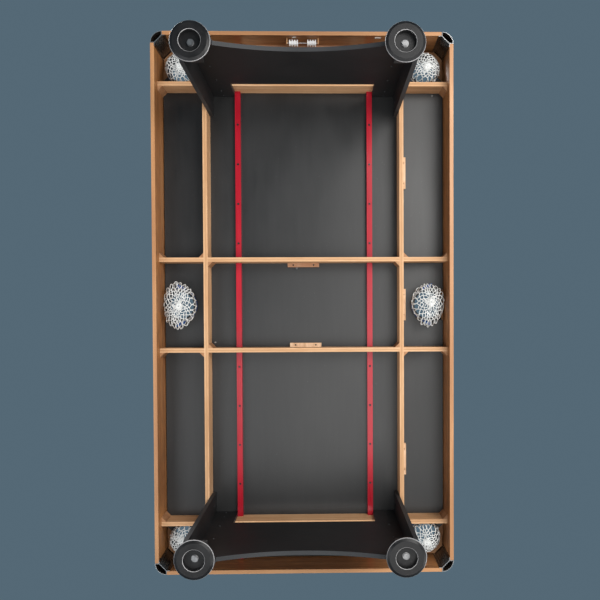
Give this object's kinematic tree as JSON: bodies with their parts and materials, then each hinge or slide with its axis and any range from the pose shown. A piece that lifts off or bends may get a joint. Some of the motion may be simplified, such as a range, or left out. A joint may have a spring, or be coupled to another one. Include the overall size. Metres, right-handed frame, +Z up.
{
  "type": "pool table",
  "caption": "Home pool table: wood-effect cabinet with rounded corner posts, braced black bed, arched end frames on levelling feet and net pockets.",
  "frame": {"origin": "on the floor, under the middle of the table", "axes": "+X across the table to the right, +Y along the table to the back end, +Z up"},
  "size_m": [1.19, 2.142, 0.79],
  "materials": {
    "apron_board": "satin",
    "raw_wood": "matte",
    "black_board": "satin",
    "bed_board": "satin",
    "post_profile": "satin",
    "casting": "satin",
    "bed_cloth": "matte",
    "cushion_cloth": "matte",
    "net_cord": "matte",
    "channel_paint": "gloss",
    "screw_steel": "satin",
    "zinc_steel": "satin",
    "foot_plastic": "satin",
    "wire_steel": "gloss",
    "spool_plastic": "gloss"
  },
  "bodies": {
    "table": {"bed_panel": "bed_board", "bed_cloth": "bed_cloth", "beam_cleats": "raw_wood", "gusset_blocks": "raw_wood", "frame_screws": "screw_steel", "end_frame_front": "black_board", "end_frame_back": "black_board", "leg_returns": "black_board", "leg_blocks": "black_board", "leg_inserts": "zinc_steel", "counter_wire": "wire_steel", "apron_front": "apron_board", "top_rail_front": "apron_board", "apron_back": "apron_board", "top_rail_back": "apron_board", "apron_left": "apron_board", "top_rail_left": "apron_board", "apron_right": "apron_board", "top_rail_right": "apron_board", "mid_beam_front": "raw_wood", "end_beam_front": "raw_wood", "cushion_front": "cushion_cloth", "mid_beam_back": "raw_wood", "end_beam_back": "raw_wood", "cushion_back": "cushion_cloth", "long_beam_left": "raw_wood", "channel_left": "channel_paint", "side_casting_left": "casting", "side_net_left": "net_cord", "long_beam_right": "raw_wood", "channel_right": "channel_paint", "side_casting_right": "casting", "side_net_right": "net_cord", "corner_post_front_left": "post_profile", "corner_casting_front_left": "casting", "corner_net_front_left": "net_cord", "cushion_front_left": "cushion_cloth", "corner_post_front_right": "post_profile", "corner_casting_front_right": "casting", "corner_net_front_right": "net_cord", "cushion_front_right": "cushion_cloth", "corner_post_back_left": "post_profile", "corner_casting_back_left": "casting", "corner_net_back_left": "net_cord", "cushion_back_left": "cushion_cloth", "corner_post_back_right": "post_profile", "corner_casting_back_right": "casting", "corner_net_back_right": "net_cord", "cushion_back_right": "cushion_cloth"},
    "levelling_screw_front_left": {"foot_screw_front_left": "zinc_steel"},
    "foot_plate_front_left": {"foot_disc_front_left": "foot_plastic"},
    "levelling_screw_front_right": {"foot_screw_front_right": "zinc_steel"},
    "foot_plate_front_right": {"foot_disc_front_right": "foot_plastic"},
    "levelling_screw_back_left": {"foot_screw_back_left": "zinc_steel"},
    "foot_plate_back_left": {"foot_disc_back_left": "foot_plastic"},
    "levelling_screw_back_right": {"foot_screw_back_right": "zinc_steel"},
    "foot_plate_back_right": {"foot_disc_back_right": "foot_plastic"},
    "spool_left": {"counter_spool_left": "spool_plastic"},
    "spool_right": {"counter_spool_right": "spool_plastic"}
  },
  "joints": [
    {"name": "level_front_left", "type": "slide", "parent": "table", "child": "levelling_screw_front_left", "axis": [0, 0, -1], "range_m": [0, 0.02]},
    {"name": "swivel_front_left", "type": "hinge", "parent": "levelling_screw_front_left", "child": "foot_plate_front_left", "pos_m": [-0.343, -0.828, 0], "axis": [0, 0, 1], "continuous": true},
    {"name": "level_front_right", "type": "slide", "parent": "table", "child": "levelling_screw_front_right", "axis": [0, 0, -1], "range_m": [0, 0.02]},
    {"name": "swivel_front_right", "type": "hinge", "parent": "levelling_screw_front_right", "child": "foot_plate_front_right", "pos_m": [0.343, -0.828, 0], "axis": [0, 0, 1], "continuous": true},
    {"name": "level_back_left", "type": "slide", "parent": "table", "child": "levelling_screw_back_left", "axis": [0, 0, -1], "range_m": [0, 0.02]},
    {"name": "swivel_back_left", "type": "hinge", "parent": "levelling_screw_back_left", "child": "foot_plate_back_left", "pos_m": [-0.343, 0.828, 0], "axis": [0, 0, 1], "continuous": true},
    {"name": "level_back_right", "type": "slide", "parent": "table", "child": "levelling_screw_back_right", "axis": [0, 0, -1], "range_m": [0, 0.02]},
    {"name": "swivel_back_right", "type": "hinge", "parent": "levelling_screw_back_right", "child": "foot_plate_back_right", "pos_m": [0.343, 0.828, 0], "axis": [0, 0, 1], "continuous": true},
    {"name": "spool_left_slide", "type": "slide", "parent": "table", "child": "spool_left", "axis": [1, 0, 0], "range_m": [-0.006, 0.017]},
    {"name": "spool_right_slide", "type": "slide", "parent": "table", "child": "spool_right", "axis": [-1, 0, 0], "range_m": [-0.006, 0.017]}
  ]
}
